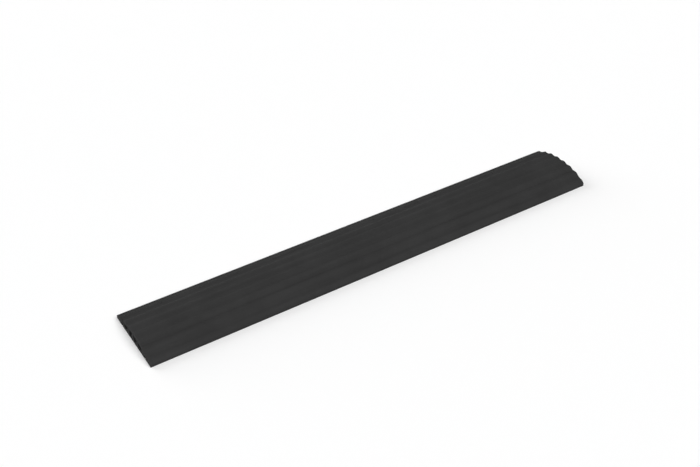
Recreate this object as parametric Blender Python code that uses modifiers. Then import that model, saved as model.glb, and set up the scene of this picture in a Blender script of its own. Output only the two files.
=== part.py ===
"""Cable protector ramp: a ribbed rubber ramp whose four cable channels lie under one long hinged lid.

Metres, +Z up. X runs along the ramp, Y across it, and the floor is at Z = 0.
"""

import math

import bmesh
import bpy

MM = 0.001

# Overall form
LENGTH = 870 * MM
WIDTH = 130 * MM
HEIGHT = 25 * MM
LIP_HEIGHT = 6 * MM
LIP_ROUND = 1.5 * MM
ARCH_POWER = 2.33

# Moulded ribs on the walking surface, which also set the pitch of the channels below them
RIB_PITCH = 17.2 * MM
RIB_HEIGHT = 1.5 * MM
RIB_STEPS = 12

# Cable channels under the lid, and a small groove for a thin wire under each slope
CHANNELS = 4
CHANNEL_WIDTH = 12 * MM
CHANNEL_ROUND = 2.5 * MM
CHANNEL_DRAFT = math.radians(2)
MOUTH_CHAMFER = 0.8 * MM
FLOOR_THICKNESS = 3.5 * MM
WIRE_BORE = 6.2 * MM
WIRE_LIP = 1.0 * MM
WIRE_MOUTH = 2.2 * MM

# Lid: it sits in a bay of the base, on a ledge at each side and on the webs between the channels
WEB_RISE = 5 * MM
ROOF_CROWN = 1.6 * MM
SEAM_GAP = 0.4 * MM
SEAM_ROUND = 0.6 * MM
LID_END_GAP = 0.5 * MM

# Hinge: knuckles of the base and of the lid share one glass-fibre rod
BARREL_RADIUS = 4.5 * MM
BARREL_SINK = 1.1 * MM
ROD_RADIUS = 2.0 * MM
LID_KNUCKLES = 6
KNUCKLE_GAP = 1.0 * MM
NOTCH_GAP = 0.8 * MM
NOTCH_ANGLE = math.radians(122)
RELIEF_GAP = 1.1 * MM
RELIEF_FLARE = 0.5 * MM
RELIEF_ANGLE = math.radians(-10)
ROD_CHAMFER = 0.4 * MM
PLUG_LENGTH = 12 * MM
PLUG_HEAD_RADIUS = 3.2 * MM
PLUG_HEAD_THICKNESS = 1.5 * MM
PLUG_DOME = 0.4 * MM

# Grip strips let into the underside
STRIP_WIDTH = 10 * MM
STRIP_THICKNESS = 2.0 * MM
STRIP_PROUD = 0.5 * MM
STRIP_RIBS = 3
STRIP_RIB_WIDTH = 2.4 * MM
STRIP_RIB_HEIGHT = 0.7 * MM
STRIP_END_INSET = 12 * MM
STRIP_EDGE_INSET = 11 * MM

# Clearances
FIT_GAP = 0.3 * MM
RUN_GAP = 0.5 * MM
CUT_MARGIN = 5 * MM

# Facets on round forms
ARC_STEP = math.radians(12)
ROUND_SIDES = 32
SLOPE_STEP = 0.01 * MM
WELD_DISTANCE = 0.001 * MM
MOULDING_SMOOTH_ANGLE = math.radians(25)
ROD_SMOOTH_ANGLE = math.radians(40)
ROD_EDGE_ANGLE = math.radians(60)

# Finishes: one black rubber for the mouldings, a softer one for the strips, and pale glass fibre
RUBBER_BLACK = (0.030, 0.030, 0.030, 1.0)
RUBBER_ROUGHNESS = 0.62
STRIP_BLACK = (0.016, 0.016, 0.017, 1.0)
STRIP_ROUGHNESS = 0.75
GLASS_FIBRE = (0.62, 0.58, 0.46, 1.0)
GLASS_FIBRE_ROUGHNESS = 0.45

HALF_WIDTH = WIDTH / 2
HALF_LENGTH = LENGTH / 2
UNDERSIDE = STRIP_PROUD
CHANNEL_FLOOR = UNDERSIDE + FLOOR_THICKNESS
SEAM_Y = CHANNELS / 2 * RIB_PITCH
HINGE_CREST_Y = SEAM_Y + RIB_PITCH / 2
WEB_WIDTH = RIB_PITCH - CHANNEL_WIDTH
FIRST_CREST_Y = 0.0 if CHANNELS % 2 else RIB_PITCH / 2
BASE_KNUCKLES = LID_KNUCKLES + 1
KNUCKLE_PITCH = LENGTH / (LID_KNUCKLES + BASE_KNUCKLES)
STRIP_LENGTH = LENGTH - 2 * STRIP_END_INSET

# Turns a flat outline so that its X and Y become the ramp's Y and Z, and its thickness runs along X
ACROSS_RAMP = (math.pi / 2, 0, math.pi / 2)


# The walking surface

def arch_height(y):
    """Middle line of the arch across the ramp, with the ribs left out."""
    crest_drop = (FIRST_CREST_Y / HALF_WIDTH) ** ARCH_POWER
    rise = (HEIGHT - RIB_HEIGHT / 2 - LIP_HEIGHT) / (1 - crest_drop)
    return LIP_HEIGHT + rise * (1 - (abs(y) / HALF_WIDTH) ** ARCH_POWER)


def rib_wave(y):
    """The ribs: a wave from -1 to 1 with a crest over the middle of every channel, a pitch apart."""
    return math.cos(2 * math.pi * (abs(y) - FIRST_CREST_Y) / RIB_PITCH)


def top_height(y):
    return arch_height(y) + RIB_HEIGHT / 2 * rib_wave(y)


def top_slope(y):
    """Slope angle of the walking surface, positive where it climbs towards +Y."""
    rise = top_height(y + SLOPE_STEP) - top_height(y - SLOPE_STEP)
    return math.atan2(rise, 2 * SLOPE_STEP)


def top_line(y_from, y_to):
    """Points of the walking surface between two places across the ramp, both ends included."""
    steps = max(1, math.ceil(abs(y_to - y_from) / RIB_PITCH * RIB_STEPS))
    places = [y_from + (y_to - y_from) * k / steps for k in range(steps + 1)]
    return [(y, top_height(y)) for y in places]


def arc(centre, radius, start, end):
    """Points on a circle from one angle to another, both ends included."""
    steps = max(2, math.ceil(abs(end - start) / ARC_STEP))
    angles = [start + (end - start) * k / steps for k in range(steps + 1)]
    return [(centre[0] + radius * math.cos(a), centre[1] + radius * math.sin(a)) for a in angles]


def rounded_edge(y_edge, radius):
    """Round from an upright face at y_edge onto the walking surface, for material on its +Y side."""
    slope = top_slope(y_edge)
    y_touch = y_edge + radius * (1 - math.sin(slope))
    centre = (y_edge + radius, top_height(y_touch) - radius * math.cos(slope))
    return arc(centre, radius, math.pi, math.pi / 2 + slope)


def mirrored(points):
    """The same line on the other side of the ramp, run the other way."""
    return [(-y, z) for y, z in reversed(points)]


def hinge_axis():
    """Centre of the hinge barrel, which touches the walking surface at a rib's crest."""
    slope = top_slope(HINGE_CREST_Y)
    return (
        HINGE_CREST_Y + BARREL_RADIUS * math.sin(slope),
        top_height(HINGE_CREST_Y) - BARREL_RADIUS * math.cos(slope),
    )


def ledge_height():
    """Level of the ledges that the lid's edges sit on: the barrel reaches a little below it."""
    return hinge_axis()[1] - BARREL_RADIUS + BARREL_SINK


def split_height(y):
    """Bay floor that the lid sits on: it rises from the ledges to the middle web."""
    return ledge_height() + WEB_RISE * max(0.0, 1 - (y / SEAM_Y) ** 2)


def barrel_foot_angle(level):
    """Angle on the front of the barrel at which it meets a level below its axis."""
    return math.pi + math.asin((hinge_axis()[1] - level) / BARREL_RADIUS)


# Outlines across the ramp, as (y, z) points

def base_outline():
    """Base at one of its own knuckles: two slopes, the lid's bay between them and the hinge barrel."""
    axis = hinge_axis()
    lip = rounded_edge(-HALF_WIDTH, LIP_ROUND)
    seam = mirrored(rounded_edge(SEAM_Y + SEAM_GAP / 2, SEAM_ROUND))
    bay_steps = CHANNELS * RIB_STEPS
    bay = [-SEAM_Y + 2 * SEAM_Y * k / bay_steps for k in range(bay_steps + 1)]
    barrel = arc(axis, BARREL_RADIUS, barrel_foot_angle(ledge_height()), RELIEF_ANGLE)
    relief_y = axis[0] + BARREL_RADIUS + RELIEF_GAP
    return [
        (-HALF_WIDTH, UNDERSIDE),
        *lip,
        *top_line(lip[-1][0], seam[0][0])[1:-1],
        *seam,
        (-SEAM_Y - SEAM_GAP / 2, ledge_height()),
        *[(y, split_height(y)) for y in bay],
        *barrel,
        (relief_y, barrel[-1][1]),
        *top_line(relief_y + RELIEF_FLARE, -lip[-1][0])[:-1],
        *mirrored(lip),
        (HALF_WIDTH, UNDERSIDE),
    ]


def lid_outline():
    """Lid at one of its own knuckles: ribs above, scalloped roof over the channels, barrel behind."""
    axis = hinge_axis()
    front = -SEAM_Y + SEAM_GAP / 2
    edge = rounded_edge(front, SEAM_ROUND)
    underside = ledge_height() + FIT_GAP
    barrel = arc(
        axis,
        BARREL_RADIUS,
        math.pi / 2 + top_slope(HINGE_CREST_Y),
        barrel_foot_angle(underside) - 2 * math.pi,
    )
    roof_steps = CHANNELS * RIB_STEPS
    roof = [SEAM_Y + (front - SEAM_Y) * k / roof_steps for k in range(roof_steps + 1)]
    return [
        *edge,
        *top_line(edge[-1][0], HINGE_CREST_Y)[1:-1],
        *barrel,
        *[(y, split_height(y) + FIT_GAP + ROOF_CROWN / 2 * (1 + rib_wave(y))) for y in roof],
    ]


def channel_outline(y_centre):
    """Cable channel: chamfered mouth between the webs, drafted sides and a rounded bottom."""
    half = CHANNEL_WIDTH / 2
    left, right = y_centre - half, y_centre + half
    left_top, right_top = split_height(left), split_height(right)
    chamfer = min(MOUTH_CHAMFER, WEB_WIDTH / 4)
    low = CHANNEL_FLOOR + CHANNEL_ROUND
    taper = math.tan(CHANNEL_DRAFT)
    left_low = left + taper * (left_top - low)
    right_low = right - taper * (right_top - low)
    return [
        (left - chamfer, left_top + chamfer),
        (left, left_top - chamfer / 2),
        *arc((left_low + CHANNEL_ROUND, low), CHANNEL_ROUND, math.pi, 1.5 * math.pi),
        *arc((right_low - CHANNEL_ROUND, low), CHANNEL_ROUND, 1.5 * math.pi, 2 * math.pi),
        (right, right_top - chamfer / 2),
        (right + chamfer, right_top + chamfer),
    ]


def wire_groove_outline(y_centre):
    """Round bore for a thin wire, pressed in from below through a narrow mouth with a flared edge."""
    radius = WIRE_BORE / 2
    half_mouth = WIRE_MOUTH / 2
    flare = WIRE_LIP / 2
    neck = math.acos(half_mouth / radius)
    right_side = [
        (y_centre + half_mouth + flare, -CUT_MARGIN),
        (y_centre + half_mouth + flare, UNDERSIDE),
        (y_centre + half_mouth, UNDERSIDE + flare),
    ]
    return [
        *right_side,
        *arc((y_centre, UNDERSIDE + WIRE_LIP + radius), radius, -neck, math.pi + neck),
        *[(2 * y_centre - y, z) for y, z in reversed(right_side)],
    ]


def strip_outline(y_centre):
    """Grip strip with flat ribs on its lower face."""
    left, right = y_centre - STRIP_WIDTH / 2, y_centre + STRIP_WIDTH / 2
    rib_step = (STRIP_WIDTH - STRIP_RIB_WIDTH) / (STRIP_RIBS - 1)
    points = [(right, STRIP_THICKNESS), (left, STRIP_THICKNESS)]
    for rib in range(STRIP_RIBS):
        start = left + rib * rib_step
        if rib:
            points.append((start, STRIP_RIB_HEIGHT))
        points += [(start, 0.0), (start + STRIP_RIB_WIDTH, 0.0)]
        if rib < STRIP_RIBS - 1:
            points.append((start + STRIP_RIB_WIDTH, STRIP_RIB_HEIGHT))
    return points


def recess_outline(y_centre):
    """Recess that a grip strip is let into."""
    half = STRIP_WIDTH / 2 + FIT_GAP
    top = STRIP_THICKNESS + FIT_GAP
    return [
        (y_centre - half, -CUT_MARGIN),
        (y_centre + half, -CUT_MARGIN),
        (y_centre + half, top),
        (y_centre - half, top),
    ]


def pocket_outline():
    """Room in the base for a knuckle of the lid."""
    return arc(hinge_axis(), BARREL_RADIUS + RUN_GAP, 0, 2 * math.pi)[:-1]


def notch_outline():
    """Room in the lid for a knuckle of the base, with a blunt edge left on the lid above the barrel."""
    axis_y, axis_z = hinge_axis()
    radius = BARREL_RADIUS + NOTCH_GAP
    far = 3 * radius
    return [
        (axis_y + far * math.cos(NOTCH_ANGLE), axis_z + far * math.sin(NOTCH_ANGLE)),
        (axis_y + far, axis_z + far),
        (axis_y + far, axis_z),
        *arc((axis_y, axis_z), radius, 0, NOTCH_ANGLE - 2 * math.pi),
    ]


def channel_centres():
    return [(k - (CHANNELS - 1) / 2) * RIB_PITCH for k in range(CHANNELS)]


def strip_places():
    """Where each grip strip runs: one near each edge and one under each outer web."""
    outer = HALF_WIDTH - STRIP_EDGE_INSET
    inner = (CHANNELS / 2 - 1) * RIB_PITCH
    return {"front_outer": -outer, "front_inner": -inner, "rear_inner": inner, "rear_outer": outer}


# Blender helpers

def new_collection(name):
    collection = bpy.data.collections.new(name)
    bpy.context.scene.collection.children.link(collection)
    return collection


def move_to(obj, collection):
    for holder in list(obj.users_collection):
        holder.objects.unlink(obj)
    collection.objects.link(obj)


def material(name, colour, roughness):
    made = bpy.data.materials.new(name)
    made.use_nodes = True
    shader = made.node_tree.nodes["Principled BSDF"]
    shader.inputs["Base Color"].default_value = colour
    shader.inputs["Roughness"].default_value = roughness
    shader.inputs["Metallic"].default_value = 0.0
    made.diffuse_color = colour
    return made


def extruded(name, outlines, length, collection, centre=(0.0, 0.0, 0.0)):
    """Solid with these outlines across the ramp, running along X to both sides of its centre."""
    curve = bpy.data.curves.new(name, "CURVE")
    curve.dimensions = "2D"
    curve.fill_mode = "BOTH"
    curve.extrude = length / 2
    for outline in outlines:
        spline = curve.splines.new("POLY")
        spline.points.add(len(outline) - 1)
        for point, (y, z) in zip(spline.points, outline):
            point.co = (y - centre[1], z - centre[2], 0, 1)
        spline.use_cyclic_u = True
    drawn = bpy.data.objects.new(name + "_curve", curve)
    drawn.location = centre
    drawn.rotation_euler = ACROSS_RAMP
    collection.objects.link(drawn)
    graph = bpy.context.evaluated_depsgraph_get()
    mesh = bpy.data.meshes.new_from_object(drawn.evaluated_get(graph))
    mesh.name = name
    shape = bmesh.new()
    shape.from_mesh(mesh)
    bmesh.ops.remove_doubles(shape, verts=shape.verts, dist=WELD_DISTANCE)
    bmesh.ops.recalc_face_normals(shape, faces=shape.faces)
    shape.to_mesh(mesh)
    shape.free()
    solid = bpy.data.objects.new(name, mesh)
    solid.matrix_world = drawn.matrix_world
    collection.objects.link(solid)
    bpy.data.objects.remove(drawn)
    bpy.data.curves.remove(curve)
    return solid


def cylinder_along_x(name, radius, length, centre, collection):
    bpy.ops.mesh.primitive_cylinder_add(
        vertices=ROUND_SIDES, radius=radius, depth=length, location=centre, rotation=(0, math.pi / 2, 0)
    )
    solid = bpy.context.object
    solid.name = name
    solid.data.name = name
    move_to(solid, collection)
    return solid


def as_cutter(obj):
    obj.hide_render = True
    obj.display_type = "WIRE"
    return obj


def cut(obj, cutter):
    modifier = obj.modifiers.new("cut_" + cutter.name, "BOOLEAN")
    modifier.operation = "DIFFERENCE"
    modifier.solver = "EXACT"
    modifier.object = as_cutter(cutter)


def repeat_along_x(obj, count, step):
    """Copies of an extruded solid along the ramp, which is the way its own Z points."""
    modifier = obj.modifiers.new("along_hinge", "ARRAY")
    modifier.count = count
    modifier.use_relative_offset = False
    modifier.use_constant_offset = True
    modifier.constant_offset_displace = (0, 0, step)


def shade(obj, angle):
    obj.data.shade_smooth()
    obj.data.set_sharp_from_angle(angle=angle)


# Hinge cutters

def knuckle_cutter(name, outline, first, count, length, collection):
    """A row of cuts along the hinge, one at every second knuckle from the given one on."""
    middle = -HALF_LENGTH + (first + 0.5) * KNUCKLE_PITCH
    cutter = extruded(name, [outline], length, collection, (middle, *hinge_axis()))
    repeat_along_x(cutter, count, 2 * KNUCKLE_PITCH)
    return cutter


def rod_bore(name, collection):
    axis_y, axis_z = hinge_axis()
    length = LENGTH + 2 * CUT_MARGIN
    return cylinder_along_x(name, ROD_RADIUS + FIT_GAP, length, (0, axis_y, axis_z), collection)


def plug_seat(name, side, collection):
    """Counterbore for a plug's head at one end of the hinge."""
    axis_y, axis_z = hinge_axis()
    depth = PLUG_HEAD_THICKNESS + FIT_GAP
    centre = (side * (HALF_LENGTH - depth / 2 + CUT_MARGIN / 2), axis_y, axis_z)
    return cylinder_along_x(name, PLUG_HEAD_RADIUS + FIT_GAP, depth + CUT_MARGIN, centre, collection)


# The pieces

def make_base(parts, cutters, rubber):
    base = extruded("base_ramp", [base_outline()], LENGTH, parts)
    through = LENGTH + 2 * CUT_MARGIN
    channels = [channel_outline(y) for y in channel_centres()]
    grooves = [wire_groove_outline(side * HINGE_CREST_Y) for side in (-1, 1)]
    recesses = [recess_outline(y) for y in strip_places().values()]
    cut(base, extruded("channel_cutter", channels, through, cutters))
    cut(base, extruded("wire_groove_cutter", grooves, through, cutters))
    cut(base, extruded("strip_recess_cutter", recesses, STRIP_LENGTH + 2 * FIT_GAP, cutters))
    cut(base, knuckle_cutter("pocket_cutter", pocket_outline(), 1, LID_KNUCKLES, KNUCKLE_PITCH, cutters))
    cut(base, rod_bore("base_bore_cutter", cutters))
    for side, end in ((-1, "left"), (1, "right")):
        cut(base, plug_seat("plug_seat_cutter_" + end, side, cutters))
    base.data.materials.append(rubber)
    shade(base, MOULDING_SMOOTH_ANGLE)
    return base


def make_lid(parts, cutters, rubber):
    """The lid's origin lies on the hinge axis, so it opens by turning about the line along it."""
    length = LENGTH - 2 * LID_END_GAP
    lid = extruded("hinged_lid", [lid_outline()], length, parts, (0.0, *hinge_axis()))
    notch_length = KNUCKLE_PITCH + KNUCKLE_GAP
    cut(lid, knuckle_cutter("notch_cutter", notch_outline(), 0, BASE_KNUCKLES, notch_length, cutters))
    cut(lid, rod_bore("lid_bore_cutter", cutters))
    lid.data.materials.append(rubber)
    shade(lid, MOULDING_SMOOTH_ANGLE)
    return lid


def make_rod(parts, glass_fibre):
    axis_y, axis_z = hinge_axis()
    length = LENGTH - 2 * (PLUG_LENGTH + FIT_GAP)
    rod = cylinder_along_x("hinge_rod", ROD_RADIUS, length, (0, axis_y, axis_z), parts)
    chamfer = rod.modifiers.new("chamfered_ends", "BEVEL")
    chamfer.width = ROD_CHAMFER
    chamfer.segments = 1
    chamfer.limit_method = "ANGLE"
    chamfer.angle_limit = ROD_EDGE_ANGLE
    rod.data.materials.append(glass_fibre)
    shade(rod, ROD_SMOOTH_ANGLE)
    return rod


def plug_profile():
    """Half section of a plug, (radius, distance out from its inner end), run down its outer side."""
    face = PLUG_LENGTH
    shoulder = PLUG_LENGTH - PLUG_HEAD_THICKNESS
    return [
        (0, face),
        (PLUG_HEAD_RADIUS - PLUG_DOME, face),
        (PLUG_HEAD_RADIUS, face - PLUG_DOME),
        (PLUG_HEAD_RADIUS, shoulder),
        (ROD_RADIUS, shoulder),
        (ROD_RADIUS, PLUG_DOME),
        (ROD_RADIUS - PLUG_DOME, 0),
        (0, 0),
    ]


def make_plug(end, side, parts, rubber):
    """Push-in plug that keeps the rod in the hinge: a shank with a flush head, turned round its axis."""
    axis_y, axis_z = hinge_axis()
    profile = plug_profile()
    mesh = bpy.data.meshes.new("hinge_plug_" + end)
    edges = [(k, k + 1) for k in range(len(profile) - 1)]
    mesh.from_pydata([(radius, 0, height) for radius, height in profile], edges, [])
    plug = bpy.data.objects.new("hinge_plug_" + end, mesh)
    plug.location = (side * (HALF_LENGTH - PLUG_LENGTH), axis_y, axis_z)
    plug.rotation_euler = (0, side * math.pi / 2, 0)
    turn = plug.modifiers.new("turned", "SCREW")
    turn.steps = ROUND_SIDES
    turn.render_steps = ROUND_SIDES
    turn.use_merge_vertices = True
    turn.merge_threshold = WELD_DISTANCE
    turn.use_smooth_shade = False
    parts.objects.link(plug)
    mesh.materials.append(rubber)
    return plug


def make_strip(place, y, parts, rubber):
    strip = extruded("grip_strip_" + place, [strip_outline(y)], STRIP_LENGTH, parts)
    strip.data.materials.append(rubber)
    return strip


def main():
    for obj in list(bpy.data.objects):
        bpy.data.objects.remove(obj)
    parts = new_collection("cable_protector_ramp")
    cutters = new_collection("cutters")
    rubber = material("black_rubber", RUBBER_BLACK, RUBBER_ROUGHNESS)
    strip_rubber = material("strip_rubber", STRIP_BLACK, STRIP_ROUGHNESS)
    glass_fibre = material("glass_fibre", GLASS_FIBRE, GLASS_FIBRE_ROUGHNESS)
    make_base(parts, cutters, rubber)
    make_lid(parts, cutters, rubber)
    make_rod(parts, glass_fibre)
    for side, end in ((-1, "left"), (1, "right")):
        make_plug(end, side, parts, rubber)
    for place, y in strip_places().items():
        make_strip(place, y, parts, strip_rubber)
    axis_y, axis_z = hinge_axis()
    print(f"hinge axis at y {axis_y:.6f}, z {axis_z:.6f}")


main()
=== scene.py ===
# %% [markdown]
# A cable protector ramp lies across a floor and keeps a few cables under a lid that people step on.
# This lesson dresses the plain CAD model of one: two ribbed rubber mouldings, a hinge rod with its two
# plugs, and four grip strips underneath. The CAD model is loaded first and stays as the frame, so the
# pieces made here can be set against it and move with it.

import cmath
import math

import bmesh
import bpy
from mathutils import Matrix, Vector


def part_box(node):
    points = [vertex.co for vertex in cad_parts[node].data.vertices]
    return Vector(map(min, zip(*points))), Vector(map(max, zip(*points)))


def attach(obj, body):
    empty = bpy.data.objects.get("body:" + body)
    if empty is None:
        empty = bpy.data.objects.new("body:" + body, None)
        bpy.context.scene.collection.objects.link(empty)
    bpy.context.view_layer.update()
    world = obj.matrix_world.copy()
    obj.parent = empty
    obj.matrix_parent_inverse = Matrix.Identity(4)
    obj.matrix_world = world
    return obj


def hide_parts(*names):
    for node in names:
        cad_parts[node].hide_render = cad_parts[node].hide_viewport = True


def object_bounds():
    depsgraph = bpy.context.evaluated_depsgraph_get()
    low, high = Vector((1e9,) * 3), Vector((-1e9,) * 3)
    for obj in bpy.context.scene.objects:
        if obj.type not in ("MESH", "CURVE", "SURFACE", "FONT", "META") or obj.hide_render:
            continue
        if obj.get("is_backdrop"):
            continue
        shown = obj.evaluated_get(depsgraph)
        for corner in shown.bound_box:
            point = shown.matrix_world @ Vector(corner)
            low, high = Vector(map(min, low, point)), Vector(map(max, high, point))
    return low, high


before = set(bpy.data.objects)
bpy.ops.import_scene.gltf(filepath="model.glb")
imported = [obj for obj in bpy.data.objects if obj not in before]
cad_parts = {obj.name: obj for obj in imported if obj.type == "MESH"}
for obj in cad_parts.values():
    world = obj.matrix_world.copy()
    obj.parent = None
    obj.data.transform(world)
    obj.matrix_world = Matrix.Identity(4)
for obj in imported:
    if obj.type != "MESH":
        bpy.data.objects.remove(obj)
cad_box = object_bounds()
print("CAD nodes:", ", ".join(sorted(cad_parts)))

# %% [markdown]
# The whole ramp is one cross-section drawn out along its length. Sizes that the frame already holds are
# measured from it, so the two can't drift apart. The sizes of the section itself, such as the pitch of the
# ribs, can't be read off a box, and are written down here once. The ribs are drawn a little deeper than the
# frame has them, as the photograph shows them: the middle crests keep their height, and the valleys are
# lower.

# %% Sizes of the section
MM = 0.001
ramp_low, ramp_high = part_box("base_ramp")
rod_low, rod_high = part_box("hinge_rod")

HALF_LENGTH = ramp_high.x
HALF_WIDTH = ramp_high.y
SOLE = ramp_low.z
LID_HALF_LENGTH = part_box("hinged_lid")[1].x
HINGE = complex(rod_low.y + rod_high.y, rod_low.z + rod_high.z) / 2
ROD_RADIUS = (rod_high.z - rod_low.z) / 2

CROWN = 25 * MM
LIP = 6 * MM
LIP_ROUND = 1.5 * MM
ARCH_POWER = 2.33
RIB_PITCH = 17.2 * MM
RIB_HEIGHT = 2.1 * MM
RIBS_A_SIDE = 4
FIRST_CREST = RIB_PITCH / 2
SEAM = 2 * RIB_PITCH
HINGE_CREST = SEAM + RIB_PITCH / 2
BARREL = 4.5 * MM
BARREL_SINK = 1.1 * MM
LEDGE = HINGE.imag - BARREL + BARREL_SINK


def in_mm(size):
    return round(size / MM, 2)


print("ramp", in_mm(2 * HALF_LENGTH), "x", in_mm(2 * HALF_WIDTH), "mm, hinge", in_mm(HINGE.imag), "mm up")

# %% [markdown]
# Node trees are easier to read as sums than as a list of links. This small class stands for one output of
# a node. Adding, taking away, multiplying and dividing such outputs puts the Math nodes in the tree, and
# one method adds any other node. It serves the finishes below and the Geometry Nodes after them.

# %% Wires between nodes
class Wire:
    """One output in a node tree."""

    def __init__(self, tree, socket=None):
        self.tree = tree
        self.socket = socket

    def add(self, kind, settings=None, sockets=None, out=0):
        """A new node: its settings are set first, then each socket gets a value or a wire."""
        node = self.tree.nodes.new(kind)
        for name, value in (settings or {}).items():
            setattr(node, name, value)
        for name, value in (sockets or {}).items():
            if isinstance(value, Wire):
                self.tree.links.new(value.socket, node.inputs[name])
            else:
                node.inputs[name].default_value = value
        return Wire(self.tree, node.outputs[out])

    def maths(self, operation, *values):
        return self.add("ShaderNodeMath", {"operation": operation}, dict(enumerate(values)))

    def __add__(self, other):
        return self.maths("ADD", self, other)

    def __radd__(self, other):
        return self.maths("ADD", other, self)

    def __sub__(self, other):
        return self.maths("SUBTRACT", self, other)

    def __rsub__(self, other):
        return self.maths("SUBTRACT", other, self)

    def __mul__(self, other):
        return self.maths("MULTIPLY", self, other)

    def __rmul__(self, other):
        return self.maths("MULTIPLY", other, self)

    def __truediv__(self, other):
        return self.maths("DIVIDE", self, other)

    def __rtruediv__(self, other):
        return self.maths("DIVIDE", other, self)

    def cos(self):
        return self.maths("COSINE", self)

    def size(self):
        return self.maths("ABSOLUTE", self)

    def whole(self):
        return self.maths("FLOOR", self)

    def even(self):
        """1 where the whole part is even, 0 where it is odd."""
        return 1 - self.maths("MODULO", self.whole(), 2)

    def rise(self, low, high):
        """A soft step from 0 below low to 1 above high."""
        limits = {"Value": self, "From Min": low, "From Max": high}
        return self.add("ShaderNodeMapRange", {"interpolation_type": "SMOOTHSTEP"}, limits)

    def parts(self):
        """The three numbers of a vector."""
        split = self.add("ShaderNodeSeparateXYZ", None, {0: self}).socket.node
        return [Wire(self.tree, socket) for socket in split.outputs]

    def vector(self, x, y, z):
        return self.add("ShaderNodeCombineXYZ", None, {0: x, 1: y, 2: z})


def rib_wave(y):
    """The ribs as a wave from -1 in the valleys to 1 on the crests; y is a number or a wire."""
    if isinstance(y, Wire):
        return ((y.size() - FIRST_CREST) * (2 * math.pi / RIB_PITCH)).cos()
    return math.cos((abs(y) - FIRST_CREST) * 2 * math.pi / RIB_PITCH)


crests = [in_mm(FIRST_CREST + k * RIB_PITCH) for k in range(RIBS_A_SIDE)]
print("rib crests at", crests, "mm from the middle")

# %% [markdown]
# Both mouldings are black rubber from a steel mould. The walking face was roughened with a fine spark
# texture, and the inside and the underside came out smoother. Carbon black gives a neutral colour, and a
# thin grey bloom clouds it a little. The rib crests are a shade greyer than the valleys, partly because feet
# scuff them and partly as a painted highlight, and feet leave them smoother too. A painted texture could
# show all this, but a procedural one keeps its grain at the true size from any distance. The points of the
# walking face carry an attribute, skin, which tells the finish where it is.

# %% Black rubber
BARE_BLACK = (0.0315, 0.0315, 0.0315)
# The grey of the bloom, and of the rib crests, which are partly scuffed and partly a painted highlight.
BLOOM_SCUFF_HIGHLIGHT_GREY = (0.0405, 0.0405, 0.0407)


def new_finish(name):
    finish = bpy.data.materials.new(name)
    finish.use_nodes = True
    return finish, finish.node_tree.nodes["Principled BSDF"], Wire(finish.node_tree)


def feed(shader, name, wire):
    wire.tree.links.new(wire.socket, shader.inputs[name])


def noise(place, scale, detail=2.0, roughness=0.5):
    sockets = {"Vector": place, "Scale": scale, "Detail": detail, "Roughness": roughness}
    return place.add("ShaderNodeTexNoise", None, sockets)


def stretched(place, scale):
    return place.add("ShaderNodeMapping", None, {"Vector": place, "Scale": scale})


def blend(factor, one, two):
    """A colour between two others. The Mix node's colour sockets are its inputs 6 and 7 and its output 2."""
    colours = {"Factor": factor, 6: (*one, 1.0), 7: (*two, 1.0)}
    return factor.add("ShaderNodeMix", {"data_type": "RGBA"}, colours, 2)


def emboss(shader, height, strength, depth):
    """Relief that is too fine to model, as a bump in the shading."""
    sockets = {"Strength": strength, "Distance": depth, "Height": height}
    feed(shader, "Normal", height.add("ShaderNodeBump", None, sockets))


rubber, shader, wire = new_finish("black_moulded_rubber")
place = wire.add("ShaderNodeTexCoord", out="Object")
skin = wire.add("ShaderNodeAttribute", {"attribute_name": "skin"}, out="Fac")
crest = rib_wave(place.parts()[1]).rise(-0.7, 0.9) * skin
bloom = noise(place, 22.0, detail=3.0, roughness=0.6)
flow = noise(stretched(place, (6.0, 160.0, 160.0)), 1.0, detail=3.0)
grain = noise(place, 1500.0, roughness=0.6)
pits = noise(place, 520.0, detail=1.0)

bloomed = (bloom * 0.6 + flow * 0.4).rise(0.32, 0.72)
# The crest share greys the rib crests: partly scuffing, partly a painted highlight where the ribs catch
# light.
bloom_scuff_and_highlight = bloomed * 0.75 + crest * 0.1
feed(shader, "Base Color", blend(bloom_scuff_and_highlight, BARE_BLACK, BLOOM_SCUFF_HIGHLIGHT_GREY))
feed(shader, "Roughness", 0.8 + (flow - 0.5) * 0.12 + (grain - 0.5) * 0.1 - crest * 0.05)
emboss(shader, (grain * 0.6 + pits * 0.4) * (0.3 + skin * 0.7), strength=0.5, depth=0.05 * MM)
shader.inputs["Specular IOR Level"].default_value = 0.04
print("finish:", rubber.name)

# %% [markdown]
# The grip strips are a softer, stickier black rubber, cut from an extruded length. Extrusion leaves fine
# lines along the strip, which show as a faint streak in the gloss, and dust sticks to it in patches.

# %% Soft strip rubber
CLEAN_BLACK = (0.0120, 0.0120, 0.0125)
DUST_GREY = (0.0210, 0.0205, 0.0200)

soft_rubber, shader, wire = new_finish("soft_grip_rubber")
place = wire.add("ShaderNodeTexCoord", out="Object")
streak = noise(stretched(place, (9.0, 1400.0, 1400.0)), 1.0)
dusty = noise(place, 90.0, detail=4.0, roughness=0.65).rise(0.5, 0.8)
feed(shader, "Base Color", blend(dusty, CLEAN_BLACK, DUST_GREY))
feed(shader, "Roughness", 0.56 + (streak - 0.5) * 0.2 + dusty * 0.15)
emboss(shader, streak * 0.7 + noise(place, 1800.0) * 0.3, strength=0.4, depth=0.03 * MM)
shader.inputs["Specular IOR Level"].default_value = 0.4
print("finish:", soft_rubber.name)

# %% [markdown]
# The hinge rod is pultruded glass fibre: bundles of glass are drawn through resin, so the fibres lie
# straight along the rod. They show as long pale and honey-coloured hairs under a thin resin skin.

# %% Glass fibre
HONEY = (0.46, 0.41, 0.29)
PALE_GLASS = (0.68, 0.64, 0.52)

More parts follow.
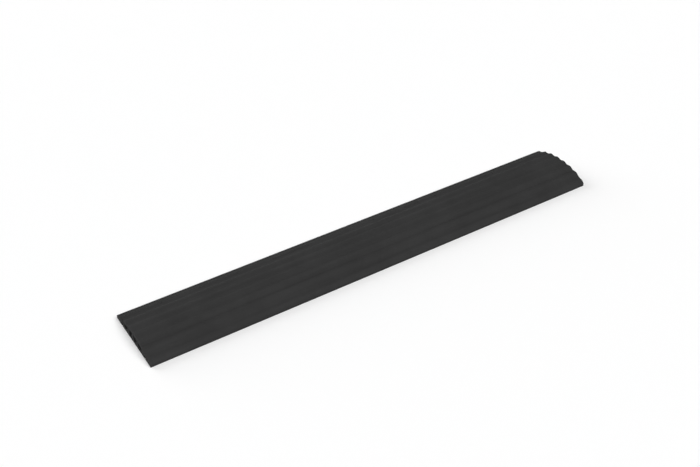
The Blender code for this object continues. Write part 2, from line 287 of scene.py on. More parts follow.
glass_fibre, shader, wire = new_finish("pultruded_glass_fibre")
place = wire.add("ShaderNodeTexCoord", out="Object")
hairs = noise(stretched(place, (14.0, 3200.0, 3200.0)), 1.0, detail=3.0, roughness=0.6)
bundles = noise(stretched(place, (5.0, 700.0, 700.0)), 1.0)
tone = (hairs * 0.6 + bundles * 0.4).rise(0.3, 0.7)
feed(shader, "Base Color", blend(tone, HONEY, PALE_GLASS))
feed(shader, "Roughness", 0.52 - tone * 0.18)
emboss(shader, hairs, strength=0.3, depth=0.02 * MM)
print("finish:", glass_fibre.name)

# %% [markdown]
# The section is drawn with complex numbers: the real part is the place across the ramp and the imaginary
# part the height, so turning a direction is one multiplication. A line of the section is a list of points,
# each with its share of skin: 1 on the walking face and 0 elsewhere. No edge of a rubber moulding is
# perfectly sharp, so every corner of the lines is rounded with a small fillet.

# %% Lines of the section
EDGE_ROUND = 0.4 * MM
SKIN_STEP = RIB_PITCH / 24
ARC_STEP = math.radians(9)
SHARP = math.radians(28)
FILLET_STEP = math.radians(24)
FILLET_SHARE = 0.45


def arch(y):
    """Height of the walking face without its ribs."""
    rise = (CROWN - RIB_HEIGHT / 2 - LIP) / (1 - (FIRST_CREST / HALF_WIDTH) ** ARCH_POWER)
    return LIP + rise * (1 - (abs(y) / HALF_WIDTH) ** ARCH_POWER)


def spaced(start, end, count):
    return [start + (end - start) * k / count for k in range(count + 1)]


def with_skin(points, share):
    return [(point, share) for point in points]


def skin_line(y_from, y_to):
    count = max(1, math.ceil(abs(y_to - y_from) / SKIN_STEP))
    return with_skin([complex(y, arch(y)) for y in spaced(y_from, y_to, count)], 1.0)


def wall(*points):
    return with_skin([complex(*point) for point in points], 0.0)


def arc(centre, radius, start, end):
    count = max(2, math.ceil(abs(end - start) / ARC_STEP))
    return with_skin([centre + cmath.rect(radius, turn) for turn in spaced(start, end, count)], 0.0)


def fillet(before, corner, after, radius):
    """The corner of two lines replaced by an arc, which shrinks where the lines are short."""
    into = (corner - before) / abs(corner - before)
    out = (after - corner) / abs(after - corner)
    turn = cmath.phase(out / into)
    limit = FILLET_SHARE * min(abs(corner - before), abs(after - corner))
    reach = min(radius * math.tan(abs(turn) / 2), limit)
    spoke = math.copysign(reach / math.tan(abs(turn) / 2), turn) * 1j * into
    centre = corner - reach * into + spoke
    count = max(2, math.ceil(abs(turn) / FILLET_STEP))
    return [centre - spoke * cmath.exp(1j * turn * k / count) for k in range(count + 1)]


def softened(line, radius=EDGE_ROUND):
    """The line with every sharp corner rounded; its two ends stay where they are."""
    found = [line[0]]
    for (before, _), (corner, skin), (after, _) in zip(line, line[1:], line[2:]):
        if abs(cmath.phase((after - corner) / (corner - before))) < SHARP:
            found.append((corner, skin))
        else:
            found += with_skin(fillet(before, corner, after, radius), skin)
    return found + [line[-1]]


print("arch", in_mm(arch(0)), "mm high in the middle,", in_mm(arch(HALF_WIDTH)), "mm at the lips")

# %% [markdown]
# The base moulding is the ramp itself: two slopes with a bay between them for the lid. The bay's floor
# carries four cable channels with chamfered mouths, slightly tapered walls and round bottoms, as the mould
# needs to let go of the rubber. Below there are two round grooves for thin wires, each with a narrow mouth
# that a wire is pressed through.

# %% Bay and grooves of the base
SEAM_GAP = 0.2 * MM
BAY_STEP = 1 * MM
WEB_RISE = 5 * MM
CHANNEL_PITCHES = (-1.5, -0.5, 0.5, 1.5)
CHANNEL_WIDTH = 12 * MM
CHANNEL_ROUND = 2.5 * MM
CHANNEL_FLOOR = SOLE + 3.5 * MM
CHANNEL_DRAFT = math.radians(2)
CHAMFER_WIDTH = 0.8 * MM / 3
CHAMFER_DEPTH = 0.8 * MM / 2
WIRE_BORE = 6.2 * MM
WIRE_LIP = 1.0 * MM
WIRE_MOUTH = 2.2 * MM


def bay_floor(y):
    return LEDGE + WEB_RISE * max(0.0, 1 - (y / SEAM) ** 2)


def bay_line(y_from, y_to):
    count = max(1, math.ceil((y_to - y_from) / BAY_STEP))
    return wall(*[(y, bay_floor(y)) for y in spaced(y_from, y_to, count)])


def channel(left, right):
    low = CHANNEL_FLOOR + CHANNEL_ROUND
    taper = math.tan(CHANNEL_DRAFT)
    left_low = left + taper * (bay_floor(left) - low) + CHANNEL_ROUND
    right_low = right - taper * (bay_floor(right) - low) - CHANNEL_ROUND
    return [
        *wall((left, bay_floor(left) - CHAMFER_DEPTH)),
        *arc(complex(left_low, low), CHANNEL_ROUND, math.pi, 1.5 * math.pi),
        *arc(complex(right_low, low), CHANNEL_ROUND, 1.5 * math.pi, 2 * math.pi),
        *wall((right, bay_floor(right) - CHAMFER_DEPTH)),
    ]


def bay():
    line = []
    y = -SEAM - SEAM_GAP / 2
    for pitches in CHANNEL_PITCHES:
        middle = pitches * RIB_PITCH
        left, right = middle - CHANNEL_WIDTH / 2, middle + CHANNEL_WIDTH / 2
        line += bay_line(y, left - CHAMFER_WIDTH) + channel(left, right)
        y = right + CHAMFER_WIDTH
    return line + bay_line(y, SEAM)


def wire_groove(y):
    radius, half_mouth, flare = WIRE_BORE / 2, WIRE_MOUTH / 2, WIRE_LIP / 2
    neck = math.acos(half_mouth / radius)
    mouth = [(half_mouth + flare, SOLE), (half_mouth, SOLE + flare)]
    return [
        *wall(*[(y + away, z) for away, z in mouth]),
        *arc(complex(y, SOLE + WIRE_LIP + radius), radius, -neck, math.pi + neck),
        *wall(*[(y - away, z) for away, z in reversed(mouth)]),
    ]


floor_heights = [in_mm(bay_floor(k * RIB_PITCH)) for k in range(3)]
print("bay floor", floor_heights, "mm high from the middle to the ledge")

# %% [markdown]
# The hinge is drawn where the base has its own knuckle, and where it leaves a pocket for a knuckle of the
# lid. Both forms begin and end at the same two points, so that stretches of either kind can follow each
# other along the ramp. The flat wall between a knuckle and a pocket is filled in later.

# %% Hinge forms of the base
POCKET = BARREL + 0.5 * MM
POCKET_DROP = 0.1 * MM
RELIEF_GAP = 1.1 * MM
RELIEF_ANGLE = math.radians(10)
RELIEF = complex(HINGE.real + BARREL + RELIEF_GAP, HINGE.imag - BARREL * math.sin(RELIEF_ANGLE))


def on_circle(radius, level, side):
    """Where a circle round the hinge crosses a level, on its front (-1) or rear (1) side."""
    drop = level - HINGE.imag
    return complex(HINGE.real + side * math.sqrt(radius ** 2 - drop ** 2), level)


def angle_of(point):
    return cmath.phase(point - HINGE) % (2 * math.pi)


pocket_front = on_circle(POCKET, LEDGE, -1)
# The pocket ends a little below the relief, which leaves its corner room to be rounded.
pocket_rear = on_circle(POCKET, RELIEF.imag - POCKET_DROP, 1)
pocket = arc(HINGE, POCKET, angle_of(pocket_front), angle_of(pocket_rear))
pocket_edge = fillet(complex(SEAM, LEDGE), pocket_front, pocket[1][0], EDGE_ROUND)
barrel_foot = on_circle(BARREL, LEDGE, -1)
barrel = arc(HINGE, BARREL, angle_of(barrel_foot), -RELIEF_ANGLE)

hinge_forms = {
    "knuckle": [(pocket_edge[0], 0.0), *softened([*barrel, (RELIEF, 0.0)])],
    "pocket": [
        *with_skin(pocket_edge[:-1], 0.0),
        *softened([(pocket_edge[-1], 0.0), *pocket[1:], (RELIEF, 0.0)]),
    ],
}
for form, line in hinge_forms.items():
    print(form, "form of the hinge:", len(line), "points")

# %% [markdown]
# The outline of the base is a chain of such lines. Most of them are the same everywhere. The hinge changes
# from knuckle to pocket, and the four recesses for the grip strips stop short of the ends, so those lines
# exist in two forms, and a small function tells which form holds at a place along the ramp.

# %% Outline of the base
STRIPS = ("front_outer", "front_inner", "rear_inner", "rear_outer")
FIT_GAP = 0.3 * MM
STRIP_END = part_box("grip_strip_front_outer")[1].x + FIT_GAP
KNUCKLES = 13
KNUCKLE_PITCH = 2 * HALF_LENGTH / KNUCKLES
RELIEF_FLARE = 0.5 * MM
LIP_REACH = 2 * MM


def strip_forms(name):
    low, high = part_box("grip_strip_" + name)
    right, left, top = high.y + FIT_GAP, low.y - FIT_GAP, high.z + FIT_GAP
    return {
        "plain": wall((right, SOLE), (left, SOLE)),
        "recess": wall((right, SOLE), (right, top), (left, top), (left, SOLE)),
    }


def knuckle_number(x):
    return int((x + HALF_LENGTH) // KNUCKLE_PITCH)


def always(line):
    return (lambda x: "plain"), {"plain": softened(line)}


def at_strip(forms):
    return (lambda x: "recess" if abs(x) < STRIP_END else "plain"), forms


def at_hinge(forms):
    return (lambda x: "pocket" if knuckle_number(x) % 2 else "knuckle"), forms


def base_segments():
    """The base's outline from behind the hinge round to its front, clockwise seen from +X."""
    strips = {name: strip_forms(name) for name in STRIPS}
    starts = {name: forms["plain"][0] for name, forms in strips.items()}
    ends = {name: forms["plain"][-1] for name, forms in strips.items()}
    lip = complex(HALF_WIDTH, LIP)
    foot = complex(HALF_WIDTH, SOLE)
    rear_skin = skin_line(RELIEF.real + RELIEF_FLARE, HALF_WIDTH - LIP_REACH)
    # The fillet at the edge of the relief needs the room of the first step.
    del rear_skin[1]
    front_skin = skin_line(-HALF_WIDTH + LIP_REACH, -SEAM - SEAM_GAP / 2)
    rear_lip = fillet(rear_skin[-1][0], lip, foot, LIP_ROUND)
    front_lip = [complex(-point.real, point.imag) for point in reversed(rear_lip)]
    front = [
        ends["front_outer"],
        *wall((-HALF_WIDTH, SOLE)),
        *with_skin(front_lip, 1.0),
        *front_skin,
        *bay(),
        (pocket_edge[0], 0.0),
    ]
    return [
        always([(RELIEF, 0.0), *rear_skin, *with_skin(rear_lip, 1.0), (foot, 0.0), starts["rear_outer"]]),
        at_strip(strips["rear_outer"]),
        always([ends["rear_outer"], *wire_groove(HINGE_CREST), starts["rear_inner"]]),
        at_strip(strips["rear_inner"]),
        always([ends["rear_inner"], starts["front_inner"]]),
        at_strip(strips["front_inner"]),
        always([ends["front_inner"], *wire_groove(-HINGE_CREST), starts["front_outer"]]),
        at_strip(strips["front_outer"]),
        always(front),
        at_hinge(hinge_forms),
    ]


base_lines = base_segments()
print("points on the base's outline:", sum(len(forms[choose(0.0)]) - 1 for choose, forms in base_lines))

# %% [markdown]
# The lid has the same ribs above and a scalloped roof below, which leaves each channel its full height.
# At its own knuckles it ends in the hinge barrel. At the base's knuckles it stops in front of them with a
# blunt edge, so that it clears them as it swings.

# %% Outline of the lid
ROOF_CROWN = 1.6 * MM
ROOF_STEPS = 96
LID_LIFT = 0.3 * MM
NOTCH = BARREL + 0.8 * MM
NOTCH_ANGLE = math.radians(122)
NOTCH_ROOM = 1 * MM
BLUNT_ROOM = 0.3 * MM
KNUCKLE_GAP = 0.5 * MM
HALVINGS = 60


def meets_skin(angle):
    """Where a line from the hinge at this angle comes out of the walking face."""
    near, far = BARREL, 3 * BARREL
    for _ in range(HALVINGS):
        middle = (near + far) / 2
        point = HINGE + cmath.rect(middle, angle)
        near, far = (middle, far) if point.imag < arch(point.real) else (near, middle)
    return point


def lid_segments():
    """The lid's outline from under its hinge round its front edge and over its top."""
    under = LEDGE + LID_LIFT
    front_y = -SEAM + SEAM_GAP / 2
    roof_places = spaced(SEAM, front_y, ROOF_STEPS)
    # The fillet at the lid's front edge needs the room of the last step.
    del roof_places[-2]
    roof = [(y, bay_floor(y) + LID_LIFT + ROOF_CROWN / 2 * (1 + rib_wave(y))) for y in roof_places]
    notch_low = on_circle(NOTCH, under, -1)
    notch_top = meets_skin(NOTCH_ANGLE)
    notch_deep = HINGE + cmath.rect(NOTCH, NOTCH_ANGLE)
    top = skin_line(front_y, notch_top.real - NOTCH_ROOM)
    blunt = fillet(top[-1][0], notch_top, notch_deep, EDGE_ROUND)
    hollow = arc(HINGE, NOTCH, NOTCH_ANGLE, angle_of(notch_low))
    notch = [*with_skin([*blunt, notch_deep], 1.0), *hollow[1:]]
    tangent = math.pi / 2 - math.asin((HINGE_CREST - HINGE.real) / BARREL)
    foot = on_circle(BARREL, under, -1)
    knuckle = [
        (blunt[0], 1.0),
        *skin_line(blunt[0].real + BLUNT_ROOM, HINGE_CREST),
        *arc(HINGE, BARREL, tangent, angle_of(foot) - 2 * math.pi)[1:],
        (notch_low, 0.0),
    ]

    def hinge(x):
        lid_side = knuckle_number(x - KNUCKLE_GAP) % 2 and knuckle_number(x + KNUCKLE_GAP) % 2
        return "knuckle" if lid_side else "notch"

    return [
        always([(notch_low, 0.0), *wall(*roof), *top, (blunt[0], 1.0)]),
        (hinge, {"knuckle": knuckle, "notch": softened(notch)}),
    ]


lid_lines = lid_segments()
print("points on the lid's outline:", sum(len(forms[choose(0.0)]) - 1 for choose, forms in lid_lines))

# %% [markdown]
# A section becomes a body by copying its outline at many stations along the ramp and joining neighbours
# with faces. A Boolean could cut the pockets and bores out of a plain bar, but it leaves long slivers that
# shade badly, while a loft keeps every face a neat strip. These three helpers give the stations, the
# outline of a stretch, and the outline drawn in a little, which rounds the two ends.

# %% Stations and outlines
END_ROUND = 0.15 * MM
END_STRIP = 1 * MM
STATION_STEP = 16 * MM
MITRE_LIMIT = 0.6


def stations(half, marks):
    """Places along a moulding no more than a step apart, with every mark among them."""
    end = half - END_ROUND
    inner = [mark for mark in marks if abs(mark) < end - END_STRIP]
    places = sorted({-end, -end + END_STRIP, end - END_STRIP, end, *inner})
    found = []
    for one, two in zip(places, places[1:]):
        found += spaced(one, two, math.ceil((two - one) / STATION_STEP))[:-1]
    return found + [end]


def outline(segments, x):
    """The closed outline of the stretch round x as (key, point, skin); neighbours share their ends."""
    found = []
    for number, (choose, forms) in enumerate(segments):
        form = choose(x)
        for spot, (point, skin) in enumerate(forms[form][:-1]):
            found.append(((number, form if spot else "", spot), point, skin))
    return found


def inset(line, depth):
    """A clockwise outline moved into its material."""
    points = [point for _, point, _ in line]
    moved = []
    for k, (key, point, skin) in enumerate(line):
        into = point - points[k - 1]
        out = points[(k + 1) % len(points)] - point
        side = -1j * into / abs(into)
        middle = side - 1j * out / abs(out)
        middle /= abs(middle)
        stretch = 1 / max(MITRE_LIMIT, (middle * side.conjugate()).real)
        moved.append((key, point + middle * depth * stretch, skin))
    return moved


print("stations on a plain bar:", len(stations(HALF_LENGTH, [])))

# %% [markdown]
# Two more kinds of face close a body. The walls of the bores are turned round the hinge axis, as the rod
# and the plugs are later. The flat walls at the ends, and those where one form of a line gives way to the
# other, are filled with triangles inside their loop of vertices, and left open round a bore.

# %% Turned and flat walls
TURN_SIDES = 40


def join(shape, one, two):
    """A closed strip of faces between two rings."""
    for k in range(len(one)):
        shape.faces.new((one[k - 1], one[k], two[k], two[k - 1]))


def turned(shape, line):
    """Rings round the hinge axis at each (x, radius), with walls between neighbours."""
    turns = [cmath.rect(1, 2 * math.pi * k / TURN_SIDES) for k in range(TURN_SIDES)]
    rings = []
    for x, radius in line:
        spots = [HINGE + radius * turn for turn in turns]
        rings.append([shape.verts.new((x, spot.real, spot.imag)) for spot in spots])
    for one, two in zip(rings, rings[1:]):
        join(shape, one, two)
    return rings


def fill(shape, loops):
    """A flat wall inside a closed loop of vertices; any further loops are holes in it."""
    pairs = [(loop[k - 1], loop[k]) for loop in loops for k in range(len(loop))]
    edges = [shape.edges.get(pair) or shape.edges.new(pair) for pair in pairs]
    bmesh.ops.triangle_fill(shape, use_beauty=True, edges=edges, normal=(1, 0, 0))


def to_object(shape, name):
    """The finished shape as an object, with a word on whether it is closed."""
    bmesh.ops.recalc_face_normals(shape, faces=shape.faces)
    loose = sum(1 for edge in shape.edges if len(edge.link_faces) != 2)
    mesh = bpy.data.meshes.new(name)
    shape.to_mesh(mesh)
    shape.free()
    obj = bpy.data.objects.new(name, mesh)
    bpy.context.scene.collection.objects.link(obj)
    print(f"{name}: {len(mesh.polygons)} faces, {loose} open edges")
    return obj


print("turned walls have", TURN_SIDES, "sides")

# %% [markdown]
# The loft puts these together. Every vertex is kept under its station and its place in the outline, so
# neighbouring stretches find the ones they share, and the body closes without merging anything.

# %% Lofting a moulding
ROUND_STEPS = 4
WELD_REACH = 1e-6


def loft(name, segments, places, bores):
    """A moulding from its outlines; bores are lines of (x, radius) along the hinge axis."""
    shape = bmesh.new()
    layer = shape.verts.layers.float.new("skin")
    made = {}

    def ring(x, line):
        for key, point, skin in line:
            if (x, key) not in made:
                made[x, key] = shape.verts.new((x, point.real, point.imag))
                made[x, key][layer] = skin
        return [made[x, key] for key, _, _ in line]

    holes = {}
    for bore in bores:
        rings = turned(shape, bore)
        holes[bore[0][0]], holes[bore[-1][0]] = rings[0], rings[-1]
    for x_from, x_to in zip(places, places[1:]):
        line = outline(segments, (x_from + x_to) / 2)
        join(shape, ring(x_from, line), ring(x_to, line))
    for before, here, after in zip(places, places[1:], places[2:]):
        for number, (choose, forms) in enumerate(segments):
            one, two = choose((before + here) / 2), choose((here + after) / 2)
            if one != two:
                start, end = made[here, (number, "", 0)], made[here, ((number + 1) % len(segments), "", 0)]
                there = [made[here, (number, one, k)] for k in range(1, len(forms[one]) - 1)]
                back = [made[here, (number, two, k)] for k in range(1, len(forms[two]) - 1)]
                hole = [holes[here]] if here in holes else []
                fill(shape, [[start, *there, end, *reversed(back)], *hole])
    for side, x in ((-1, places[0]), (1, places[-1])):
        line = outline(segments, x)
        last = ring(x, line)
        for step in range(1, ROUND_STEPS + 1):
            turn = math.pi / 2 * step / ROUND_STEPS
            x_step = x + side * END_ROUND * math.sin(turn)
            following = ring(x_step, inset(line, END_ROUND * (1 - math.cos(turn))))
            join(shape, last, following)
            last = following
        fill(shape, [last, *[loop for place, loop in holes.items() if abs(place - x_step) < WELD_REACH]])
    return to_object(shape, name)


print("station step", in_mm(STATION_STEP), "mm, end round", in_mm(END_ROUND), "mm in", ROUND_STEPS, "steps")

# %% [markdown]
# The ribs follow a rule, a cosine wave across the ramp, so Geometry Nodes raise them. A tree starts with
# its inputs, which give the sizes their names. It ends in plain mesh with its material, and its result
# takes the place of the object's own mesh.

# %% Inputs of the rib tree
def new_tree(name, inputs):
    """A Geometry Nodes tree with these named inputs, and its input node's wires by name."""
    tree = bpy.data.node_groups.new(name, "GeometryNodeTree")
    tree.is_modifier = True
    tree.interface.new_socket("Geometry", in_out="OUTPUT", socket_type="NodeSocketGeometry")
    for label, kind in inputs.items():
        tree.interface.new_socket(label, in_out="INPUT", socket_type="NodeSocket" + kind)
    source = tree.nodes.new("NodeGroupInput")
    return tree, {label: Wire(tree, source.outputs[label]) for label in inputs}


def close_tree(tree, geometry, finish):
    """The end of a tree: plain mesh with its material."""
    real = geometry.add("GeometryNodeRealizeInstances", None, {"Geometry": geometry})
    painted = real.add("GeometryNodeSetMaterial", None, {"Geometry": real, "Material": finish})
    result = tree.nodes.new("NodeGroupOutput")
    tree.links.new(painted.socket, result.inputs["Geometry"])


def apply_tree(obj, tree, values):
    """The object's mesh becomes what the tree makes of it."""
    modifier = obj.modifiers.new(tree.name, "NODES")
    modifier.node_group = tree
    for item in tree.interface.items_tree:
        if item.in_out == "INPUT" and item.name in values:
            modifier[item.identifier] = values[item.name]
    graph = bpy.context.evaluated_depsgraph_get()
    mesh = bpy.data.meshes.new_from_object(obj.evaluated_get(graph))
    obj.modifiers.remove(modifier)
    obj.data = mesh
    mesh.name = obj.name
    return obj


ribs, given = new_tree("raised_ribs", {
    "Blank": "Geometry",
    "Rib Pitch": "Float",
    "Rib Height": "Float",
    "First Crest": "Float",
    "Sink Depth": "Float",
    "Sink Spread": "Float",
    "Seed": "Float",
    "Rubber": "Material",
})
print("inputs of the rib tree:", ", ".join(given))

# %% [markdown]
# The blanks come out of the loft with a smooth arch. The tree lifts the points of the walking face by the
# wave, and presses them down a little where the rubber sank in the mould as it cured, which breaks up the
# reflections along the length. Both mouldings share the tree, so their ribs meet at the seam.

# %% Ribs by Geometry Nodes
wire = given["Blank"]
skin = wire.add("GeometryNodeInputNamedAttribute", {"data_type": "FLOAT"}, {"Name": "skin"})
spot = wire.add("GeometryNodeInputPosition")
across = spot.parts()[1]
wave = ((across.size() - given["First Crest"]) / given["Rib Pitch"] * (2 * math.pi)).cos()
sink = wire.add("ShaderNodeTexNoise", {"noise_dimensions": "4D"}, {
    "Vector": spot,
    "W": given["Seed"],
    "Scale": 1 / given["Sink Spread"],
})
lift = (wave * given["Rib Height"] / 2 - sink * given["Sink Depth"]) * skin
raised = wire.add("GeometryNodeSetPosition", None, {
    "Geometry": wire,
    "Offset": wire.vector(0.0, 0.0, lift),
})
close_tree(ribs, raised, given["Rubber"])
rib_values = {
    "Rib Pitch": RIB_PITCH,
    "Rib Height": RIB_HEIGHT,
    "First Crest": FIRST_CREST,
    "Sink Depth": 0.12 * MM,
    "Sink Spread": 60 * MM,
    "Seed": 7.0,
    "Rubber": rubber,
}
print("rib tree:", len(ribs.nodes), "nodes")

# %% [markdown]
# Now the base is lofted. Its knuckles are bored for the hinge rod, and the two end ones are counterbored
# for the heads of the plugs. Smooth shading runs over the rounded edges, and only true corners stay sharp.

# %% The base moulding
BORE = ROD_RADIUS + FIT_GAP
SEAT = 3.5 * MM
SEAT_DEPTH = 1.8 * MM
SEAT_CHAMFER = 0.2 * MM
SMOOTH_ANGLE = math.radians(38)


def knuckle_edge(number):
    return -HALF_LENGTH + number * KNUCKLE_PITCH


def smooth(obj):
    obj.data.shade_smooth()
    obj.data.set_sharp_from_angle(angle=SMOOTH_ANGLE)
    return obj


def triangles(obj):
    return sum(len(face.vertices) - 2 for face in obj.data.polygons)


seat_line = [(0.0, SEAT + SEAT_CHAMFER), (SEAT_CHAMFER, SEAT), (SEAT_DEPTH, SEAT), (SEAT_DEPTH, BORE)]
base_bores = []
for number in range(0, KNUCKLES, 2):
    bore = [(knuckle_edge(number), BORE), (knuckle_edge(number + 1), BORE)]
    if number == 0:
        bore[:1] = [(-HALF_LENGTH + depth, radius) for depth, radius in seat_line]
    if number == KNUCKLES - 1:
        bore[1:] = [(HALF_LENGTH - depth, radius) for depth, radius in reversed(seat_line)]
    base_bores.append(bore)
base_marks = [knuckle_edge(number) for number in range(1, KNUCKLES)] + [-STRIP_END, STRIP_END]
moulded_base = loft("moulded_base", base_lines, stations(HALF_LENGTH, base_marks), base_bores)
smooth(apply_tree(moulded_base, ribs, rib_values))
print("base triangles:", triangles(moulded_base))

# %% [markdown]
# The lid is lofted in the same way. It is half a millimetre short at each end, so that it doesn't catch on
# the next ramp in a row.

# %% The lid moulding
lid_marks = []
lid_bores = []
for number in range(1, KNUCKLES, 2):
    one, two = knuckle_edge(number) + KNUCKLE_GAP, knuckle_edge(number + 1) - KNUCKLE_GAP
    lid_marks += [one, two]
    lid_bores.append([(one, BORE), (two, BORE)])
moulded_lid = loft("moulded_lid", lid_lines, stations(LID_HALF_LENGTH, lid_marks), lid_bores)
smooth(apply_tree(moulded_lid, ribs, rib_values))
print("lid triangles:", triangles(moulded_lid))

# %% [markdown]
# The rod is a plain round bar with its ends chamfered so that it threads through thirteen knuckles. The
# plugs keep it there: each has a shank with small barbs, a flush head with a soft rim, and the shallow
# dimple that its mould gate leaves. All three are turned shapes, a line of radii spun round the hinge axis.

# %% Rod and plugs
ROD_CHAMFER = 0.4 * MM
# The plug's line in millimetres: the depth below the end face, and the radius there.
PLUG_DIMPLE = [(0.25, 0.35), (0.25, 0.7), (0.0, 1.0)]
PLUG_RIM = [(0.0, 2.75), (0.06, 2.97), (0.2, 3.12), (0.4, 3.2), (1.35, 3.2), (1.5, 3.05), (1.5, 2.0)]
PLUG_TIP = [(11.4, 1.9), (11.85, 1.6), (12.0, 1.2)]
BARBS = 4
FIRST_BARB = 2.4
BARB_PITCH = 2.1
BARB_LINE = [(0, 1.9), (0.1, 2.12), (1.3, 1.9)]


def turned_piece(name, line, finish):
    shape = bmesh.new()
    rings = turned(shape, line)
    shape.faces.new(rings[0])
    shape.faces.new(rings[-1])
    obj = to_object(shape, name)
    obj.data.materials.append(finish)
    return smooth(obj)


rod_line = [(rod_low.x, ROD_RADIUS - ROD_CHAMFER), (rod_low.x + ROD_CHAMFER, ROD_RADIUS)]
rod_line += [(-x, radius) for x, radius in reversed(rod_line)]
drawn_rod = turned_piece("drawn_rod", rod_line, glass_fibre)

plug_line = PLUG_DIMPLE + PLUG_RIM
for barb in range(BARBS):
    start = FIRST_BARB + BARB_PITCH * barb
    plug_line += [(start + depth, radius) for depth, radius in BARB_LINE]
plug_line += PLUG_TIP
plugs = {}
for end, side in (("left", -1), ("right", 1)):
    line = [(side * (HALF_LENGTH - depth * MM), radius * MM) for depth, radius in plug_line]
    plugs[end] = turned_piece("plug_" + end, line, rubber)
print("rod", in_mm(2 * rod_high.x), "mm long, plug heads", 2 * max(radius for _, radius in plug_line), "mm")

# %% [markdown]
# The grip strips have three flat ribs underneath, and each rib is cut across at an even pitch, so that
# small blocks bite into the floor. Blocks in rows and columns are work for Geometry Nodes: the tree starts
# from a grid with one cell for each block and each gap, marks the cells of the blocks, and spreads the
# cells to their true widths.

# %% Grid of a grip strip
strip_tree, given = new_tree("blocked_strip", {
    "Start": "Geometry",
    "Length": "Float",
    "Width": "Float",
    "Body": "Float",
    "Blocks": "Int",
    "Block Length": "Float",
    "Rows": "Int",
    "Row Width": "Float",
    "Row Height": "Float",
    "Place": "Vector",
    "Rubber": "Material",
})
wire = given["Start"]
# Added before a number is cut to a whole one, so that rounding can't drop it to the one below.
NUDGE = 0.01
HALF_NUDGE = 0.25


def cell_edge(cell, count, block, whole):
    """Where the edge of a cell lies: blocks of one width in even cells, gaps between them in odd ones."""
    pitch = (whole - block) / (count - 1)
    half = (cell / 2 + HALF_NUDGE).whole()
    return half * pitch + (cell - half * 2) * block - whole / 2


columns, rows = given["Blocks"] * 2, given["Rows"] * 2
grid = wire.add("GeometryNodeMeshGrid", None, {
    "Size X": columns - 1,
    "Size Y": rows - 1,
    "Vertices X": columns,
    "Vertices Y": rows,
})
x, y, _ = wire.add("GeometryNodeInputPosition").parts()
column, row = x + (columns - 1) / 2, y + (rows - 1) / 2
marked = wire.add("GeometryNodeStoreNamedAttribute", {"data_type": "BOOLEAN", "domain": "FACE"}, {
    "Geometry": grid,
    "Name": "block",
    "Value": column.even() * row.even(),
})
edge_x = cell_edge((column + NUDGE).whole(), given["Blocks"], given["Block Length"], given["Length"])
edge_y = cell_edge((row + NUDGE).whole(), given["Rows"], given["Row Width"], given["Width"])
sheet = wire.add("GeometryNodeSetPosition", None, {
    "Geometry": marked,
    "Position": wire.vector(edge_x, edge_y, 0.0),
})
print("grid of the strip tree:", len(strip_tree.nodes), "nodes")

# %% [markdown]
# The marked cells are pushed down to make the blocks. A second copy of the grid, pushed up, is the body of
# the strip. The two halves are joined and welded, and the tree serves all four strips.

# %% Grip strips by Geometry Nodes
ROW_HEIGHT = 0.7 * MM

is_block = wire.add("GeometryNodeInputNamedAttribute", {"data_type": "BOOLEAN"}, {"Name": "block"})
blocks = wire.add("GeometryNodeExtrudeMesh", {"mode": "FACES"}, {
    "Mesh": sheet,
    "Selection": is_block,
    "Offset": wire.vector(0.0, 0.0, -1.0),
    "Offset Scale": given["Row Height"],
    "Individual": False,
})
lower = wire.add("GeometryNodeFlipFaces", None, {"Mesh": blocks})
upper = wire.add("GeometryNodeExtrudeMesh", {"mode": "FACES"}, {
    "Mesh": sheet,
    "Offset": wire.vector(0.0, 0.0, 1.0),
    "Offset Scale": given["Body"],
    "Individual": False,
})
both = strip_tree.nodes.new("GeometryNodeJoinGeometry")
for half in (upper, lower):
    strip_tree.links.new(half.socket, both.inputs[0])
welded = wire.add("GeometryNodeMergeByDistance", None, {
    "Geometry": Wire(strip_tree, both.outputs[0]),
    "Distance": WELD_REACH,
})
placed = wire.add("GeometryNodeTransform", None, {"Geometry": welded, "Translation": given["Place"]})
close_tree(strip_tree, placed, given["Rubber"])

soft_strips = {}
for name in STRIPS:
    low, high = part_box("grip_strip_" + name)
    strip = bpy.data.objects.new("soft_strip_" + name, bpy.data.meshes.new("soft_strip_" + name))
    bpy.context.scene.collection.objects.link(strip)
    apply_tree(strip, strip_tree, {
        "Length": high.x - low.x,
        "Width": high.y - low.y,
        "Body": high.z - low.z - ROW_HEIGHT,
        "Blocks": 142,
        "Block Length": 4.6 * MM,
        "Rows": 3,
        "Row Width": 2.4 * MM,
        "Row Height": ROW_HEIGHT,
        "Place": (0.0, (low.y + high.y) / 2, low.z + ROW_HEIGHT),
        "Rubber": soft_rubber,
    })
    soft_strips[name] = smooth(strip)
    print(strip.name, len(strip.data.polygons), "faces")

# %% [markdown]
# Every piece is now tied to the frame: it rides on the base or on the lid, and takes the place of its CAD
# node. Each row also gives the material slot that its finish belongs to, which is not used here.

# %% Riding on the frame
for piece, body, node, slot in [
    (moulded_base, "base", "base_ramp", "black_rubber"),
    (moulded_lid, "lid", "hinged_lid", "black_rubber"),
    (drawn_rod, "base", "hinge_rod", "glass_fibre"),
    (plugs["left"], "base", "hinge_plug_left", "black_rubber"),
    (plugs["right"], "base", "hinge_plug_right", "black_rubber"),
    *[(soft_strips[name], "base", "grip_strip_" + name, "strip_rubber") for name in STRIPS],
]:
    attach(piece, body)
    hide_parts(node)
    print(f"{piece.name} rides on {body} in place of {node}")

# %% [markdown]
# The photograph shows the ramp on a pure white ground with a faint soft shadow along its front and its two
# ends. The floor is a plain pale sheet, lit just enough to come out white where nothing shades it. Beyond
# it the camera sees white, while the even light that the surroundings throw on the ramp stays low.

# %% Floor and background
FLOOR_REACH = 8.0
FLOOR_TONE = 0.95
EVEN_LIGHT = 0.06

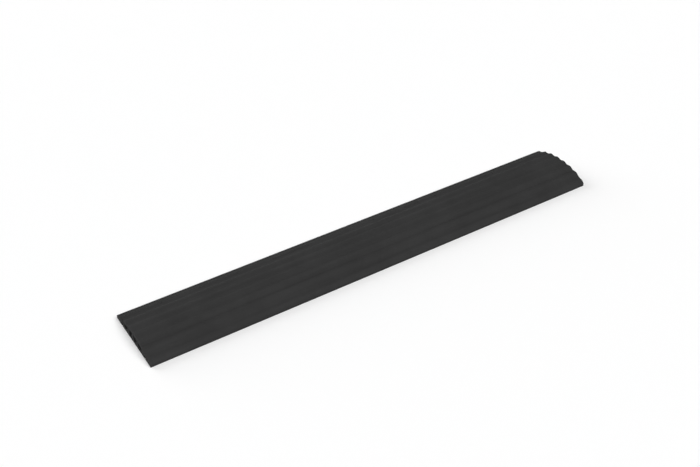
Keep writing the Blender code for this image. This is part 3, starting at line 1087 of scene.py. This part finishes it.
corners = [(-1, -1), (1, -1), (1, 1), (-1, 1)]
floor_mesh = bpy.data.meshes.new("pale_floor")
floor_mesh.from_pydata([(FLOOR_REACH * x, FLOOR_REACH * y, 0.0) for x, y in corners], [], [(0, 1, 2, 3)])
floor = bpy.data.objects.new("pale_floor", floor_mesh)
bpy.context.scene.collection.objects.link(floor)
pale, shader, _ = new_finish("pale_floor")
shader.inputs["Base Color"].default_value = (FLOOR_TONE, FLOOR_TONE, FLOOR_TONE, 1.0)
shader.inputs["Roughness"].default_value = 1.0
shader.inputs["Specular IOR Level"].default_value = 0.0
floor_mesh.materials.append(pale)
floor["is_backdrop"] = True

world = bpy.data.worlds.new("white_studio")
bpy.context.scene.world = world
world.use_nodes = True
background = world.node_tree.nodes["Background"]
background.inputs["Color"].default_value = (1.0, 1.0, 1.0, 1.0)
seen = Wire(world.node_tree).add("ShaderNodeLightPath", out="Is Camera Ray")
feed(background, "Strength", EVEN_LIGHT + seen * (1 - EVEN_LIGHT))
print("floor tone", FLOOR_TONE, "even light", EVEN_LIGHT)

# %% [markdown]
# Two broad lamps light the ramp. One is high in front of it, and evens out the ribs. The other is low behind
# it, and throws the soft shadow along its front edge. Both are suns with a very wide disc, as a large sheet
# of diffusing cloth would be: their light is the same all over the floor, and the ribs show only as a gentle
# change of tone.

# %% Light
# Height, side, clockwise from behind, and spread in degrees, then power.
LAMPS = {"overhead_cloth": (60, 175, 60, 2.9), "low_cloth": (14, 333, 45, 2.4)}

on_floor = EVEN_LIGHT
for name, (height, side, spread, power) in LAMPS.items():
    lamp_data = bpy.data.lights.new(name, "SUN")
    lamp_data.angle = math.radians(spread)
    lamp_data.energy = power
    lamp = bpy.data.objects.new(name, lamp_data)
    level = cmath.rect(math.cos(math.radians(height)), math.radians(90 - side))
    towards = Vector((level.real, level.imag, math.sin(math.radians(height))))
    lamp.rotation_euler = towards.to_track_quat("Z", "Y").to_euler()
    bpy.context.scene.collection.objects.link(lamp)
    on_floor += power * towards.z / math.pi
bpy.context.scene.view_settings.view_transform = "Standard"
print(f"light on the floor {on_floor:.2f}, so the floor shows as {on_floor * FLOOR_TONE:.2f}")

# %% [markdown]
# The camera was found by fitting the ramp's outline to the photograph: a 50 mm lens on a 36 mm sensor, a
# little over a metre and a half away, looking down at about 38 degrees and along the ramp from its left.

# %% Camera
CAMERA_PLACE = (-0.74191, -1.08192, 1.03535)
LOOKS_DOWN = 37.535
TURNED_BY = -32.912

camera_data = bpy.data.cameras.new("photo_camera")
camera_data.lens = 50.0
camera_data.sensor_width = 36.0
camera = bpy.data.objects.new("photo_camera", camera_data)
camera.location = CAMERA_PLACE
camera.rotation_euler = (math.radians(90 - LOOKS_DOWN), 0.0, math.radians(TURNED_BY))
bpy.context.scene.collection.objects.link(camera)
bpy.context.scene.camera = camera
print("camera", tuple(round(v, 3) for v in camera.location))

# %% [markdown]
# Last, the dressed model's box is printed beside the CAD model's.

# %% Finish
bpy.context.view_layer.update()
visual_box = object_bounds()
print("CAD box", [[in_mm(v) for v in corner] for corner in cad_box])
print("visual box", [[in_mm(v) for v in corner] for corner in visual_box])
